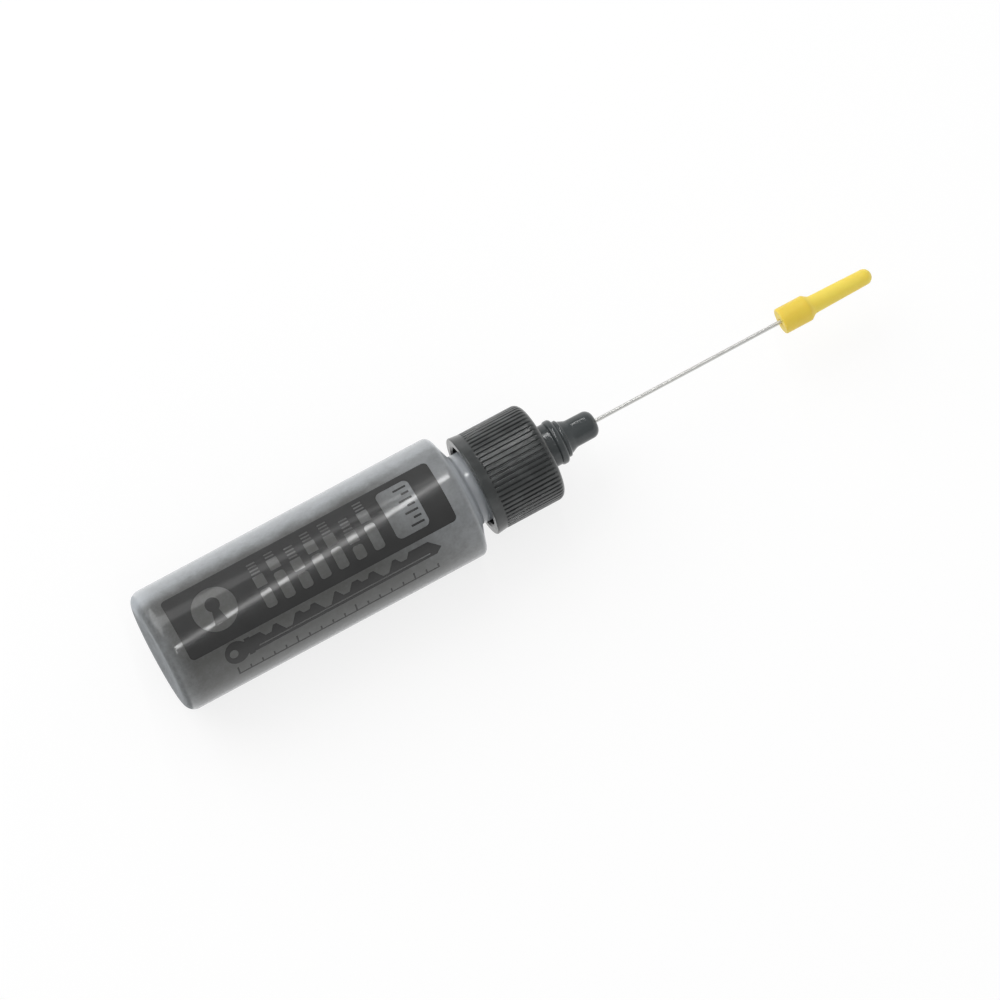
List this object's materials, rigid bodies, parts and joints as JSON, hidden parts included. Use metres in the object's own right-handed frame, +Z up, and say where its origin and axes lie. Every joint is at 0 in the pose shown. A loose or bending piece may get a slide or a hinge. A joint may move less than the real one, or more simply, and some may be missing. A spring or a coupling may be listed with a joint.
{
  "type": "graphite lock lubricant bottle",
  "caption": "Cylindrical squeeze bottle of graphite powder with a ribbed screw collar, a nozzle with a fine steel needle for keyways, and a push-on needle cover.",
  "frame": {"origin": "on the surface under the bottle as it lies on its side, below the middle of the whole length", "axes": "+X along the bottle's axis from its base to the needle, +Z up, +Y across"},
  "size_m": [0.1242, 0.02, 0.02],
  "materials": {
    "bottle": "translucent smoky polyethylene, satin gloss",
    "graphite": "loose dark grey powder, dull with a faint sheen",
    "collar": "black polypropylene, satin, moulded grip ribs",
    "nozzle": "black polyethylene, smooth satin gloss",
    "needle": "drawn stainless steel tube",
    "cover": "yellow flexible plastic, slightly translucent",
    "print": "screen-printed ink on the bottle"
  },
  "bodies": {
    "bottle": {"bottle": "bottle", "graphite_powder": "graphite"},
    "nozzle": {"nozzle": "nozzle", "needle_tube": "needle"},
    "collar": {"screw_collar": "collar"},
    "cover": {"tip_cover": "cover"}
  },
  "joints": [
    {"name": "closure_lift", "type": "slide", "parent": "bottle", "child": "nozzle", "axis": [1, 0, 0], "range_m": [0, 0.00423]},
    {"name": "collar_turn", "type": "hinge", "parent": "nozzle", "child": "collar", "pos_m": [0, 0, 0.01], "axis": [1, 0, 0], "range_deg": [0, 720]},
    {"name": "cover_pull", "type": "slide", "parent": "nozzle", "child": "cover", "axis": [1, 0, 0], "range_m": [0, 0.0125]}
  ],
  "couplings": [
    {"joint": "collar_turn", "follows": "closure_lift", "rad_per_m": 2968}
  ]
}
